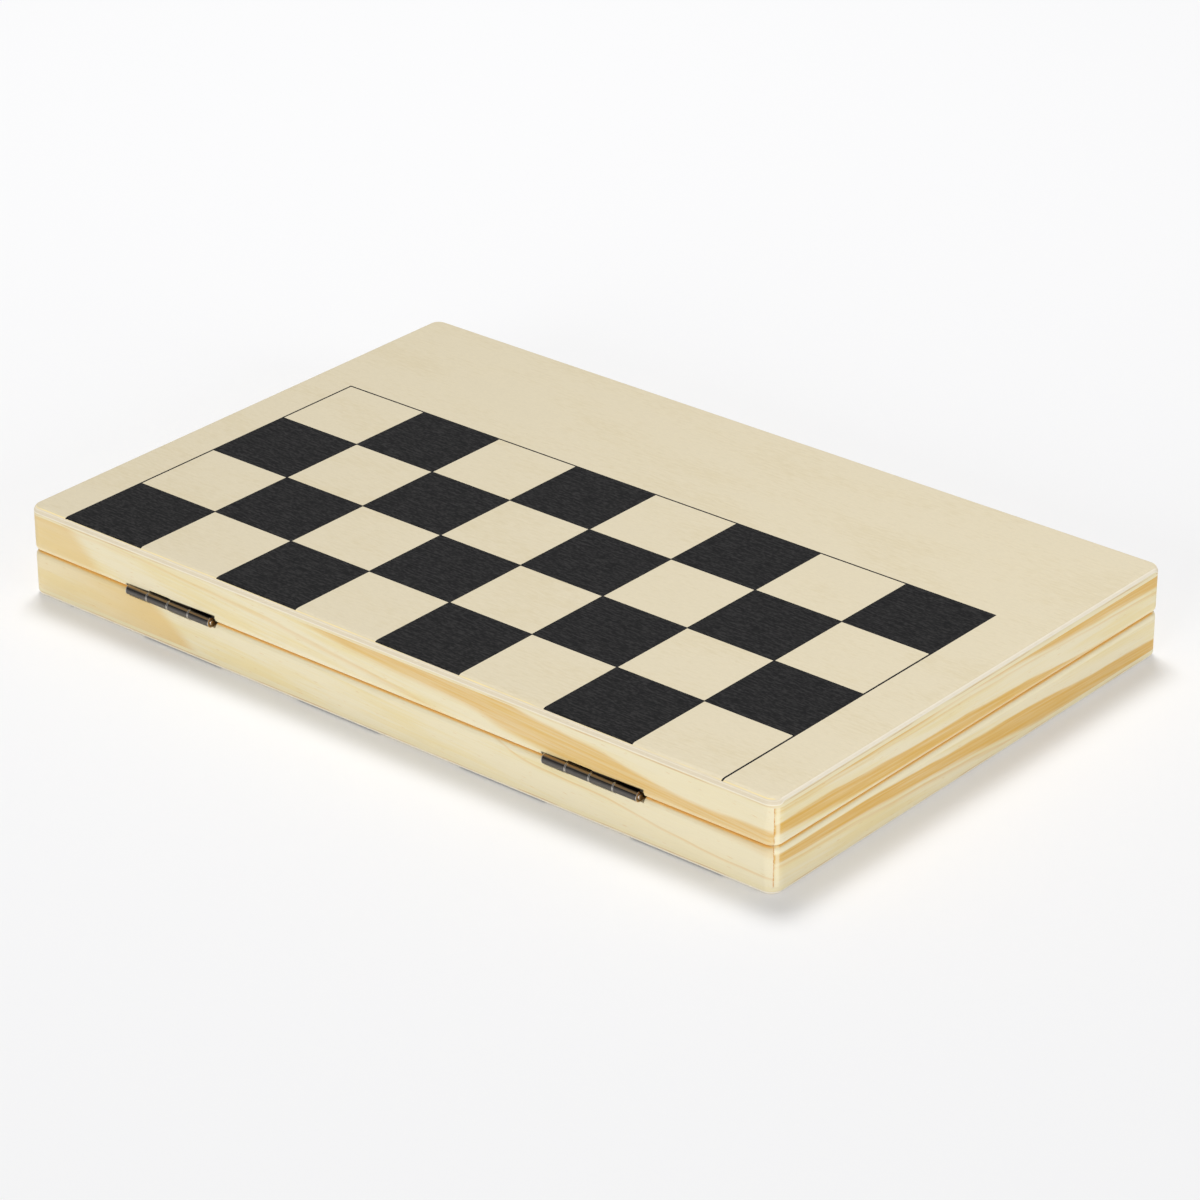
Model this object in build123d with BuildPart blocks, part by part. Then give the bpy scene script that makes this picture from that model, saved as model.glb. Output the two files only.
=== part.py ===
from build123d import *
from dataclasses import dataclass
from math import atan, cos, degrees, radians, sin, sqrt
import os

# Travel chess set: a flat wooden case in two hinged halves. Each half is a plywood panel
# on a mitred pine frame, with half of the board printed on its outer face. The chessmen
# lie inside. Millimetres, +Z up. The origin is the centre of the closed case's underside,
# +X runs along the case, the hinges are on the -Y side and the latch is on the +Y side.

# Board print
square_size = 22.0
squares_along = 8
squares_across = 4
margin_left = 10.9
margin_right = 13.1
margin_hinge = 0.7
margin_latch = 41.3
border_width = 0.45
ink_bleed = 0.15
ink_depth = 0.12

# Case
panel_thickness = 2.0
strip_thickness = 8.0
headroom = 4.0
corner_radius = 2.8
panel_edge_radius = 1.4
rim_edge_radius = 1.2
rim_gap = 0.1
mitre_overrun = 1.0

# Hinges, two alike
hinge_length = 24.0
hinge_left_inset = 41.6
hinge_right_inset = 44.5
knuckle_count = 4
knuckle_gap = 0.12
barrel_radius = 1.1
pin_radius = 0.55
pin_clearance = 0.05
pin_overhang = 0.25
axis_outset = 0.1
leaf_thickness = 0.55
leaf_reach = 6.4
leaf_setback = 0.35
barrel_relief = 0.45
mortise_end_gap = 0.9
mortise_back_gap = 0.3
hinge_screw_inset = 5.0
hinge_screw_reach = 3.9
hinge_screw_radius = 0.6
hinge_screw_length = 5.0
hinge_screw_head_radius = 1.05
hinge_screw_clearance = 0.05

# Latch: a swinging hook on the lid and a headed stud on the base
latch_pivot_drop = 4.2
latch_throw = 13.0
latch_angle = 35.0
latch_offset = -3.7
latch_gap = 0.1
hook_thickness = 0.8
hook_eye_radius = 2.2
hook_arm_width = 2.6
hook_end_radius = 2.9
hook_tab_length = 2.4
stud_radius = 0.8
stud_clearance = 0.25
stud_head_radius = 1.6
stud_head_height = 0.9
stud_depth = 5.0
pivot_radius = 0.8
pivot_clearance = 0.08
pivot_head_radius = 1.7
head_gap = 0.1

# Slots of the screw heads
screw_slot_width = 0.35
screw_slot_depth = 0.25

# Chessmen, turned and lying on their sides on the base panel
royal_radius = 6.5
foot_height = 2.2
foot_round = 0.5
collar_thickness = 1.1
tower_recess = 1.2
tower_wall = 1.2
tower_notch_width = 1.4
finial_radius = 1.1
cross_width = 3.2
cross_bar = 1.1
cross_height = 3.6
horse_thickness = 5.4
wall_clearance = 1.0
floor_clearance = 0.1
row_gap = 2.0
tilt_steps = 8
pawn_count = 8
pair_count = 2
single_count = 1

# Derived sizes of the case
case_length = squares_along * square_size + margin_left + margin_right
case_width = squares_across * square_size + margin_hinge + margin_latch
cavity_height = 2 * royal_radius + headroom
case_height = cavity_height + 2 * panel_thickness
split_height = case_height / 2
lid_panel_low = case_height - panel_thickness
base_rim = split_height - rim_gap / 2
lid_rim = split_height + rim_gap / 2
inner_length = case_length - 2 * strip_thickness
inner_width = case_width - 2 * strip_thickness
hinge_face = -case_width / 2
latch_face = case_width / 2
print_left = -case_length / 2 + margin_left
print_right = case_length / 2 - margin_right
print_near = hinge_face + margin_hinge
print_far = latch_face - margin_latch

# The upper edge of a foot, where its straight side ends
foot_edge = foot_height - foot_round

# Derived places of the hinges and the latch
axis_y = hinge_face - axis_outset
hinge_centres = [-case_length / 2 + hinge_left_inset, case_length / 2 - hinge_right_inset]
knuckle_pitch = hinge_length / knuckle_count
bore_radius = pin_radius + pin_clearance
pivot_height = case_height - latch_pivot_drop
stud_offset = latch_offset + latch_throw * sin(radians(latch_angle))
stud_height = pivot_height - latch_throw * cos(radians(latch_angle))
hook_face = latch_face + latch_gap

os.makedirs("parts", exist_ok=True)


def save(piece, label):
    """Label a finished piece and write it out."""
    piece.label = label
    export_step(piece, f"parts/{label}.step")


def rounded_slab(inset, low, high, edge_radius, outer_end):
    """A rounded rectangle between two heights, with its outer face's edge rounded."""
    with BuildPart() as slab:
        with BuildSketch(Plane.XY.offset(low)):
            RectangleRounded(
                case_length - 2 * inset, case_width - 2 * inset, corner_radius - inset
            )
        extrude(amount=high - low)
        faces = slab.faces().sort_by(Axis.Z)
        fillet(faces[outer_end].edges(), edge_radius)
    return slab.part


def board_print(slab, core, dark_first):
    """The ink of half a board: its dark squares and the line round three of its sides."""
    side = square_size + 2 * ink_bleed
    with BuildPart() as ink:
        with BuildSketch():
            for column in range(squares_along):
                for row in range(squares_across):
                    if (column + row) % 2 == dark_first:
                        across = print_near + (row + 0.5) * square_size
                        with Locations((print_left + (column + 0.5) * square_size, across)):
                            Rectangle(side, side)
            line_length = print_right - print_left + border_width
            with Locations(((print_left + print_right) / 2, print_far)):
                Rectangle(line_length, border_width)
            with Locations(
                (print_left, (print_near + print_far) / 2),
                (print_right, (print_near + print_far) / 2),
            ):
                Rectangle(border_width, print_far - print_near + border_width)
        extrude(amount=case_height)
        add(slab, mode=Mode.INTERSECT)
        add(core, mode=Mode.SUBTRACT)
    return ink.part


def panel_without(slab, ink):
    """The plywood panel, cut back where the ink lies in its face."""
    with BuildPart() as panel:
        add(slab)
        add(ink, mode=Mode.SUBTRACT)
    return panel.part


# Panels and their print
inner_radius = panel_edge_radius - ink_depth
base_slab = rounded_slab(0, 0, panel_thickness, panel_edge_radius, 0)
base_core = rounded_slab(ink_depth, ink_depth, panel_thickness, inner_radius, 0)
base_ink = board_print(base_slab, base_core, 1)
save(base_ink, "base_print")
save(panel_without(base_slab, base_ink), "base_panel")

lid_slab = rounded_slab(0, lid_panel_low, case_height, panel_edge_radius, -1)
lid_core = rounded_slab(ink_depth, lid_panel_low, case_height - ink_depth, inner_radius, -1)
lid_ink = board_print(lid_slab, lid_core, 0)
save(lid_ink, "lid_print")
save(panel_without(lid_slab, lid_ink), "lid_panel")


def frame_ring(low, high, rim_end):
    """The whole frame of one half, before it is cut at the mitres."""
    with BuildPart() as ring:
        with BuildSketch(Plane.XY.offset(low)):
            RectangleRounded(case_length, case_width, corner_radius)
        extrude(amount=high - low)
        fillet(ring.faces().sort_by(Axis.Z)[rim_end].edges(), rim_edge_radius)
        with BuildSketch(Plane.XY.offset(low)):
            Rectangle(inner_length, inner_width)
        extrude(amount=high - low, mode=Mode.SUBTRACT)
    return ring.part


def mitred_strip(ring, outer_length, outer_reach, turn):
    """One side of a frame ring, kept between two 45 degree cuts through its corners."""
    outer = outer_length / 2 + mitre_overrun
    inner = outer_length / 2 - strip_thickness - mitre_overrun
    near = outer_reach + mitre_overrun
    far = outer_reach - strip_thickness - mitre_overrun
    with BuildPart() as strip:
        with BuildSketch():
            corners = [(-outer, -near), (outer, -near), (inner, -far), (-inner, -far)]
            Polygon(*corners, align=None, rotation=turn)
        extrude(amount=case_height)
        add(ring, mode=Mode.INTERSECT)
    return strip.part


def knuckle_starts(owner):
    """Where the knuckles of one leaf begin: the lid's are the first and third, counted from -X."""
    for centre in hinge_centres:
        for count in range(owner, knuckle_count, 2):
            yield centre - hinge_length / 2 + count * knuckle_pitch


def hinge_strip(strip, rim, inward, other_leaf):
    """A hinge-side strip with a mortise for each leaf, relief round the other leaf's knuckles
    and pilot holes for the screws. inward is +1 in the lid and -1 in the base."""
    mortise_depth = barrel_radius - rim_gap / 2
    mortise_reach = leaf_reach + mortise_back_gap - axis_outset
    with BuildPart() as cut:
        add(strip)
        for centre in hinge_centres:
            with BuildSketch(Plane.XY.offset(rim)):
                with Locations((centre, hinge_face + mortise_reach / 2)):
                    Rectangle(hinge_length + 2 * mortise_end_gap, mortise_reach)
            extrude(amount=inward * mortise_depth, mode=Mode.SUBTRACT)
        for start in knuckle_starts(other_leaf):
            with BuildSketch(Plane.YZ.offset(start - knuckle_gap)):
                with Locations((axis_y, split_height)):
                    Circle(barrel_radius + barrel_relief)
            extrude(amount=knuckle_pitch + knuckle_gap, mode=Mode.SUBTRACT)
        with BuildSketch(Plane.XY.offset(split_height)):
            with Locations(*hinge_screw_places()):
                Circle(hinge_screw_radius)
        extrude(amount=inward * screw_tip_rise(), mode=Mode.SUBTRACT)
    return cut.part


def hinge_screw_places():
    """Plan places of the four screws that hold one half's two leaves."""
    across = axis_y + hinge_screw_reach
    for centre in hinge_centres:
        for side in (-1, 1):
            yield (centre + side * (hinge_length / 2 - hinge_screw_inset), across)


def screw_tip_rise():
    """How far a hinge screw's tip lies from the split."""
    return barrel_radius - leaf_thickness + hinge_screw_length


# Frames
base_ring = frame_ring(panel_thickness, base_rim, -1)
lid_ring = frame_ring(lid_rim, lid_panel_low, 0)
long_side = (case_length, case_width / 2)
short_side = (case_width, case_length / 2)
for half, ring in (("base", base_ring), ("lid", lid_ring)):
    save(mitred_strip(ring, *short_side, -90), f"{half}_frame_left")
    save(mitred_strip(ring, *short_side, 90), f"{half}_frame_right")

base_strip = mitred_strip(base_ring, *long_side, 0)
lid_strip = mitred_strip(lid_ring, *long_side, 0)
save(hinge_strip(base_strip, base_rim, -1, 0), "base_frame_hinge_side")
save(hinge_strip(lid_strip, lid_rim, 1, 1), "lid_frame_hinge_side")


def bored_strip(strip, offset, height, radius):
    """A latch-side strip with the pilot hole of the stud or the pivot screw."""
    with BuildPart() as bored:
        add(strip)
        with BuildSketch(Plane.XZ.offset(-latch_face)):
            with Locations((offset, height)):
                Circle(radius)
        extrude(amount=stud_depth, mode=Mode.SUBTRACT)
    return bored.part


latch_base = mitred_strip(base_ring, *long_side, 180)
latch_lid = mitred_strip(lid_ring, *long_side, 180)
save(bored_strip(latch_base, stud_offset, stud_height, stud_radius), "base_frame_latch_side")
save(bored_strip(latch_lid, latch_offset, pivot_height, pivot_radius), "lid_frame_latch_side")


def hinge_leaf(centre, owner, inward):
    """A flat leaf let into the rim, with two knuckles rolled from its edge."""
    start = centre - hinge_length / 2
    plate_low = split_height + inward * (barrel_radius - leaf_thickness)
    plate_edge = axis_y + barrel_radius + leaf_setback
    with BuildPart() as leaf:
        with BuildSketch(Plane.XY.offset(plate_low)):
            with Locations((centre, (plate_edge + axis_y + leaf_reach) / 2)):
                Rectangle(hinge_length, axis_y + leaf_reach - plate_edge)
        extrude(amount=inward * leaf_thickness)
        for count in range(owner, knuckle_count, 2):
            knuckle_start = start + count * knuckle_pitch + knuckle_gap / 2
            with BuildSketch(Plane.YZ.offset(knuckle_start)):
                with Locations((axis_y, split_height)):
                    Circle(barrel_radius)
                with Locations(
                    ((axis_y + plate_edge) / 2, plate_low + inward * leaf_thickness / 2)
                ):
                    Rectangle(plate_edge - axis_y, leaf_thickness)
            extrude(amount=knuckle_pitch - knuckle_gap)
        with BuildSketch(Plane.YZ.offset(start)):
            with Locations((axis_y, split_height)):
                Circle(bore_radius)
        extrude(amount=hinge_length, mode=Mode.SUBTRACT)
        # The mouth of each hole faces the split, where the screw goes in.
        places = [p for p in hinge_screw_places() if abs(p[0] - centre) < hinge_length / 2]
        mouth = Plane((0, 0, plate_low), x_dir=(1, 0, 0), z_dir=(0, 0, -inward))
        with BuildSketch(mouth):
            with Locations(*[(x, -inward * y) for x, y in places]):
                Circle(hinge_screw_head_radius + hinge_screw_clearance)
        taper_depth = hinge_screw_head_radius - hinge_screw_radius
        extrude(amount=-taper_depth, taper=45, mode=Mode.SUBTRACT)
        with BuildSketch(mouth):
            with Locations(*[(x, -inward * y) for x, y in places]):
                Circle(hinge_screw_radius + hinge_screw_clearance)
        extrude(amount=-leaf_thickness, mode=Mode.SUBTRACT)
    return leaf.part


def hinge_pin(centre):
    """A plain pin through all four knuckles, with slightly domed ends."""
    with BuildPart() as pin:
        with BuildSketch(Plane.YZ.offset(centre - hinge_length / 2 - pin_overhang)):
            with Locations((axis_y, split_height)):
                Circle(pin_radius)
        extrude(amount=hinge_length + 2 * pin_overhang)
        fillet(pin.edges().filter_by(GeomType.CIRCLE), pin_overhang)
    return pin.part


# Hinges
for name, centre in zip(("left", "right"), hinge_centres):
    save(hinge_leaf(centre, 0, 1), f"hinge_{name}_lid_leaf")
    save(hinge_leaf(centre, 1, -1), f"hinge_{name}_base_leaf")
    save(hinge_pin(centre), f"hinge_{name}_pin")


def wood_screw():
    """A slotted countersunk screw standing on its point, with its head's top at the origin."""
    taper_depth = hinge_screw_head_radius - hinge_screw_radius
    with BuildPart() as screw:
        with BuildSketch(Plane.XZ):
            Polygon(
                (0, 0),
                (hinge_screw_head_radius, 0),
                (hinge_screw_radius, -taper_depth),
                (hinge_screw_radius, hinge_screw_radius - hinge_screw_length),
                (0, -hinge_screw_length),
                align=None,
            )
        revolve(axis=Axis.Z)
        with BuildSketch():
            Rectangle(2 * hinge_screw_head_radius, screw_slot_width)
        extrude(amount=-screw_slot_depth, mode=Mode.SUBTRACT)
    return screw.part


def screws_in(half, inward):
    """The four hinge screws of one half, their heads flush with the leaves."""
    head_height = split_height + inward * (barrel_radius - leaf_thickness)
    flip = 180 if inward > 0 else 0
    with BuildPart() as screws:
        for along, across in hinge_screw_places():
            with Locations(Location((along, across, head_height), (flip, 0, 0))):
                add(screw_blank)
    save(screws.part, f"hinge_screws_{half}")


screw_blank = wood_screw()
screws_in("base", -1)
screws_in("lid", 1)


def headed_fastener(offset, height, neck, shank_radius, head_radius, slotted):
    """A round-headed pin or screw driven into a latch-side strip along -Y."""
    seat = latch_face + neck
    with BuildPart() as fastener:
        with BuildSketch(Plane.XZ.offset(stud_depth - latch_face)):
            with Locations((offset, height)):
                Circle(shank_radius)
        extrude(amount=-(stud_depth + neck))
        with BuildSketch(Plane.XZ.offset(-seat)):
            with Locations((offset, height)):
                Circle(head_radius)
        extrude(amount=-stud_head_height)
        fillet(fastener.faces().sort_by(Axis.Y)[-1].edges(), stud_head_height / 2)
        if slotted:
            with BuildSketch(Plane.XZ.offset(-seat - stud_head_height)):
                with Locations((offset, height)):
                    Rectangle(2 * head_radius, screw_slot_width, rotation=latch_angle)
            extrude(amount=screw_slot_depth, mode=Mode.SUBTRACT)
    return fastener.part


# Latch
neck_length = latch_gap + hook_thickness + head_gap
catch = headed_fastener(stud_offset, stud_height, neck_length, stud_radius, stud_head_radius, False)
save(catch, "latch_catch_stud")
pivot = headed_fastener(latch_offset, pivot_height, neck_length, pivot_radius, pivot_head_radius, True)
save(pivot, "latch_pivot_screw")

with BuildPart() as hook:
    with BuildSketch(Plane.XZ.offset(-hook_face)):
        with Locations((latch_offset, pivot_height)):
            Circle(hook_eye_radius)
        with Locations((latch_offset, pivot_height - latch_throw / 2)):
            Rectangle(hook_arm_width, latch_throw)
        with Locations((latch_offset, pivot_height - latch_throw)):
            Circle(hook_end_radius)
        with Locations((latch_offset - hook_end_radius, pivot_height - latch_throw)):
            Rectangle(hook_tab_length, hook_arm_width)
    extrude(amount=-hook_thickness)
    # The mouth follows the arc that the stud describes about the pivot.
    mouth_sweep = degrees(hook_end_radius / latch_throw) + latch_angle / 2
    with BuildSketch(Plane.XZ.offset(-hook_face)):
        with BuildLine():
            mouth_line = CenterArc((latch_offset, pivot_height), latch_throw, -90, mouth_sweep)
        SlotArc(mouth_line, 2 * (stud_radius + stud_clearance))
        with Locations((latch_offset, pivot_height)):
            Circle(pivot_radius + pivot_clearance)
    extrude(amount=-hook_thickness, mode=Mode.SUBTRACT)
save(hook.part, "latch_hook")


def ball_seat(neck_radius, radius, top):
    """Where a ball of the given radius and top meets a round neck below it."""
    return (neck_radius, top - radius - sqrt(radius**2 - neck_radius**2))


def ball(seat, radius, top):
    """The outline of a ball, from its seat on the neck up to its top."""
    ThreePointArc(seat, (radius, top - radius), (0, top))
    return (0, top)


def pawn_head(man, neck):
    """A ball on the collar."""
    seat = ball_seat(neck[0], man.head_radius, man.height)
    Line(neck, seat)
    return ball(seat, man.head_radius, man.height)


def rook_head(man, neck):
    """A straight tower with a flared rim and a hollow top."""
    rim_low = (neck[1] + man.height) / 2
    outer = man.head_radius
    inner = outer - tower_wall
    floor = man.height - tower_recess
    Bezier(neck, (neck[0], rim_low), (outer, rim_low))
    Polyline((outer, rim_low), (outer, man.height), (inner, man.height), (inner, floor))
    Line((inner, floor), (0, floor))
    return (0, floor)


def bishop_head(man, neck):
    """A pointed mitre with a small ball on top."""
    belly = (man.head_radius, neck[1] + man.head_radius)
    seat = ball_seat(finial_radius / 2, finial_radius, man.height)
    Bezier(neck, (man.head_radius, neck[1]), belly)
    Bezier(belly, (man.head_radius, (belly[1] + seat[1]) / 2), seat)
    return ball(seat, finial_radius, man.height)


def crown(man, neck, peak):
    """A flared crown with a domed top that ends at its peak."""
    rim = (man.head_radius, peak[1] - finial_radius)
    lip = (man.head_radius - foot_round, rim[1] + foot_round)
    Bezier(neck, (neck[0], (neck[1] + rim[1]) / 2), rim)
    Line(rim, lip)
    Bezier(lip, (2 * finial_radius, peak[1]), peak)


def queen_head(man, neck):
    """A crown with a ball."""
    seat = ball_seat(finial_radius / 2, finial_radius, man.height)
    crown(man, neck, seat)
    return ball(seat, finial_radius, man.height)


def king_head(man, neck):
    """A crown with a flat spot, where the cross stands."""
    top = man.height - cross_height
    crown(man, neck, (cross_bar, top))
    Line((cross_bar, top), (0, top))
    return (0, top)


def knight_head(man, neck):
    """The low platform that the horse's head stands on."""
    Line(neck, (0, neck[1]))
    return (0, neck[1])


@dataclass
class Chessman:
    """Sizes of one kind of chessman, standing on its foot."""

    name: str
    head: callable
    height: float
    foot_radius: float
    waist_radius: float
    collar_radius: float
    collar_height: float
    head_radius: float


def foot_outline(man):
    """The outline of the foot, the waisted body and the collar, from the floor up."""
    tread = man.foot_radius - foot_round
    shoulder = man.foot_radius - 2 * foot_round
    collar_low = man.collar_height - collar_thickness / 2
    collar_high = collar_low + collar_thickness
    Line((0, 0), (tread, 0))
    RadiusArc((tread, 0), (man.foot_radius, foot_round), -foot_round)
    Line((man.foot_radius, foot_round), (man.foot_radius, foot_edge))
    RadiusArc((man.foot_radius, foot_edge), (tread, foot_height), -foot_round)
    Line((tread, foot_height), (shoulder, foot_height))
    waist = (man.waist_radius, collar_low)
    Bezier((shoulder, foot_height), (man.waist_radius, foot_height), waist)
    Line(waist, (man.collar_radius, collar_low))
    RadiusArc(
        (man.collar_radius, collar_low), (man.collar_radius, collar_high), -collar_thickness
    )
    Line((man.collar_radius, collar_high), (man.waist_radius, collar_high))
    return (man.waist_radius, collar_high)


def cut_battlements(man):
    """The four notches in the rim of a rook, as a solid to take away."""
    with BuildPart() as notches:
        with BuildSketch(Plane.XY.offset(man.height - tower_recess)):
            Rectangle(2 * man.foot_radius, tower_notch_width)
            Rectangle(tower_notch_width, 2 * man.foot_radius)
        extrude(amount=tower_recess)
    return notches.part


def king_cross(man):
    """A plain cross, its stem let a little way into the crown."""
    low = man.height - cross_height
    with BuildPart() as cross:
        with BuildSketch(Plane.XZ.offset(-cross_bar / 2)):
            with Locations((0, low + (cross_height - cross_bar) / 2)):
                Rectangle(cross_bar, cross_height + cross_bar)
            with Locations((0, low + cross_height / 2)):
                Rectangle(cross_width, cross_bar)
        extrude(amount=cross_bar)
    return cross.part


def horse_head(man):
    """A flat-sided horse's head, cut from a board. Its corners are shares of its reach and rise."""
    low = man.collar_height
    reach = man.head_radius
    rise = man.height - low

    def corner(across, up):
        return (across * reach, low + up * rise)

    chest = corner(-0.75, 0)
    throat = corner(-0.15, 0.45)
    crest = corner(0.3, 0.88)
    mane = corner(0.95, 0.45)
    back = corner(0.75, 0)
    with BuildPart() as horse:
        with BuildSketch(Plane.XZ.offset(-horse_thickness / 2)):
            with BuildLine():
                Bezier(chest, corner(-0.7, 0.25), throat)
                Polyline(throat, corner(-0.65, 0.35), corner(-1, 0.45), corner(-0.9, 0.6))
                Polyline(corner(-0.9, 0.6), corner(-0.35, 0.88), corner(0, 1), crest)
                Bezier(crest, corner(0.95, 0.75), mane)
                Bezier(mane, corner(0.95, 0.2), back)
                Line(back, chest)
            make_face()
        extrude(amount=horse_thickness)
    return horse.part


def standing_man(man):
    """One chessman standing at the origin, with the tilt, in radians, at which it lies down.

    A lying man rests on the upper edge of its foot and on whichever place of its outline
    first meets the floor."""
    with BuildPart() as piece:
        with BuildSketch(Plane.XZ):
            with BuildLine() as outline:
                top = man.head(man, foot_outline(man))
                Line(top, (0, 0))
            make_face()
        revolve(axis=Axis.Z)
        if man.head is rook_head:
            add(cut_battlements(man), mode=Mode.SUBTRACT)
        elif man.head is king_head:
            add(king_cross(man))
        elif man.head is knight_head:
            add(horse_head(man))
    touching = []
    for edge in outline.edges():
        for step in range(tilt_steps + 1):
            point = edge @ (step / tilt_steps)
            touching.append((point.X, point.Y))
    if man.head is knight_head:
        touching.append((horse_thickness / 2, man.height))
    slopes = [
        (man.foot_radius - radius) / (height - foot_edge)
        for radius, height in touching
        if height > 2 * foot_height
    ]
    return piece.part, atan(min(slopes))


# Kinds of chessman: name, head, height, and the radii and height that shape the outline
pawn = Chessman("pawns", pawn_head, 22.0, 5.5, 2.2, 3.4, 14.2, 3.1)
rook = Chessman("rooks", rook_head, 24.0, 6.2, 3.3, 4.3, 16.0, 4.5)
knight = Chessman("knights", knight_head, 27.0, 6.2, 4.4, 5.0, 7.4, 5.4)
bishop = Chessman("bishops", bishop_head, 29.0, 6.2, 2.3, 3.7, 18.0, 3.3)
queen = Chessman("queen", queen_head, 34.0, royal_radius, 2.5, 4.0, 21.5, 4.3)
king = Chessman("king", king_head, 38.0, royal_radius, 2.7, 4.2, 23.5, 4.5)
standing = {man.name: standing_man(man) for man in (pawn, rook, knight, bishop, queen, king)}

# The rows of chessmen, from the hinge side to the latch side
light_row = [("light", pawn, pawn_count), ("light", rook, pair_count), ("dark", rook, pair_count)]
dark_row = [("dark", pawn, pawn_count), ("dark", knight, pair_count), ("light", knight, pair_count)]
royal_row = [
    ("light", bishop, pair_count),
    ("light", queen, single_count),
    ("light", king, single_count),
    ("dark", king, single_count),
    ("dark", queen, single_count),
    ("dark", bishop, pair_count),
]
rows = [light_row, dark_row, royal_row]

# Lay the men out in their rows, evenly from wall to wall, then write one node for each
# colour and kind
places = {}
row_start = -inner_width / 2 + wall_clearance
for row in rows:
    men_width = sum(count * 2 * man.foot_radius for _, man, count in row)
    men_count = sum(count for _, _, count in row)
    man_gap = (inner_length - 2 * wall_clearance - men_width) / (men_count - 1)
    along = wall_clearance - inner_length / 2
    for colour, man, count in row:
        tilt = standing[man.name][1]
        axis_height = man.foot_radius * cos(tilt) + foot_edge * sin(tilt)
        across = row_start + man.foot_radius * sin(tilt)
        for _ in range(count):
            along += man.foot_radius
            spot = (along, across, panel_thickness + floor_clearance + axis_height)
            lying = Location(spot, (-90 - degrees(tilt), 0, 0))
            places.setdefault((colour, man.name), []).append(lying)
            along += man.foot_radius + man_gap
    row_start += max(man.height for _, man, _ in row) + row_gap

for (colour, kind), spots in places.items():
    with BuildPart() as group:
        with Locations(*spots):
            add(standing[kind][0])
    save(group.part, f"{colour}_{kind}")

print("case", case_length, case_width, case_height)
print("free strip starts at y =", row_start, "and ends at", inner_width / 2)
print("stud at", stud_offset, stud_height, "pivot at", latch_offset, pivot_height)
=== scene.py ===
import math
from typing import NamedTuple

import bpy
from bpy.props import FloatProperty, FloatVectorProperty, PointerProperty
from mathutils import Matrix, Vector


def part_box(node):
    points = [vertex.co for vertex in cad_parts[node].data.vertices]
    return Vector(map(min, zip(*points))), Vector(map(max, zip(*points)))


bl_info = {
    "name": "Travel chess set",
    "version": (1, 0, 0),
    "blender": (4, 5, 0),
    "location": "View3D > Sidebar > Chess set",
    "description": "Finishes, light and camera for a folding travel chess set",
    "category": "Object",
}

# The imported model, in metres. Finishes are laid out in millimetres of the same frame.
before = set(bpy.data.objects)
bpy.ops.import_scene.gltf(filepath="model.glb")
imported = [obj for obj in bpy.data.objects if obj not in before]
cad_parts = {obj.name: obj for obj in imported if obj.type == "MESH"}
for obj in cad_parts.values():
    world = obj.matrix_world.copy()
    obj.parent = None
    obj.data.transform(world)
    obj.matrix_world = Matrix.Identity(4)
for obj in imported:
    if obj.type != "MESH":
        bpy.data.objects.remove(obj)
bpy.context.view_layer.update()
mm = 0.001

# Sizes of the case, read from its own pieces
case_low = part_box("base_panel")[0] / mm
case_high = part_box("lid_panel")[1] / mm
case_length = case_high.x - case_low.x
case_width = case_high.y - case_low.y
case_top = case_high.z
split_height = case_top / 2
panel_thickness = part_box("base_panel")[1].z / mm


def srgb(red, green, blue):
    """A colour in screen levels, 0 to 255, as the linear light that shaders work with."""
    parts = (level / 255 for level in (red, green, blue))
    return tuple(((part + 0.055) / 1.055) ** 2.4 if part > 0.04 else part / 12.92 for part in parts)


def paint(name, description, red, green, blue):
    """A colour that a user can change, given in screen levels."""
    shade = srgb(red, green, blue)
    return FloatVectorProperty(
        name=name, description=description, subtype="COLOR", min=0.0, max=1.0, default=shade
    )


def length(name, description, millimetres):
    """A length that a user can change."""
    return FloatProperty(
        name=name, description=description, unit="LENGTH", min=0.0, default=millimetres * mm
    )


def share(name, description, value):
    """A share from 0 to 1 that a user can change."""
    return FloatProperty(
        name=name, description=description, subtype="FACTOR", min=0.0, max=1.0, default=value
    )


class PlywoodLook(bpy.types.PropertyGroup):
    """Colours and plies of the two panels."""

    face: paint("Veneer", "Colour of the outer veneers", 229, 217, 188)
    streak: paint("Streak", "Colour of the darker fibres of the veneer", 216, 201, 164)
    core: paint("Core", "Colour of the middle ply, as its edge shows", 235, 222, 195)
    # Also the colour of the painted highlight on the rounded rim of the base's underside
    core_line_and_highlight: paint("Core line", "Colour of the palest lines on the edge", 252, 244, 227)
    inner: paint("Inner plies", "Colour of the edge where it meets the pine", 240, 228, 190)
    outer_glue: paint("Outer glue line", "Line under the outer veneer", 255, 233, 166)
    inner_glue: paint("Inner glue line", "Line where the pale part of the edge ends", 206, 160, 104)
    veneer: length("Veneer thickness", "Thickness of each outer veneer", 0.28)
    glue: length("Glue line", "Width of the outer glue line on the edge", 0.12)
    # Painted light: each panel is painted darker at its left end and paler at its right, for light that
    # falls more on the right
    painted_light_slant: share("Tone along the case", "How much paler the right end of a panel is than its left", 0.11)
    roughness: share("Roughness", "Roughness of the sanded faces", 0.5)


class PrintLook(bpy.types.PropertyGroup):
    """The black print of the board."""

    ink: paint("Ink", "Colour of the print", 24, 24, 25)
    worn: paint("Fibres", "Colour where raised fibres show through", 52, 51, 51)
    roughness: share("Roughness", "Roughness of the print", 0.7)


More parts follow.
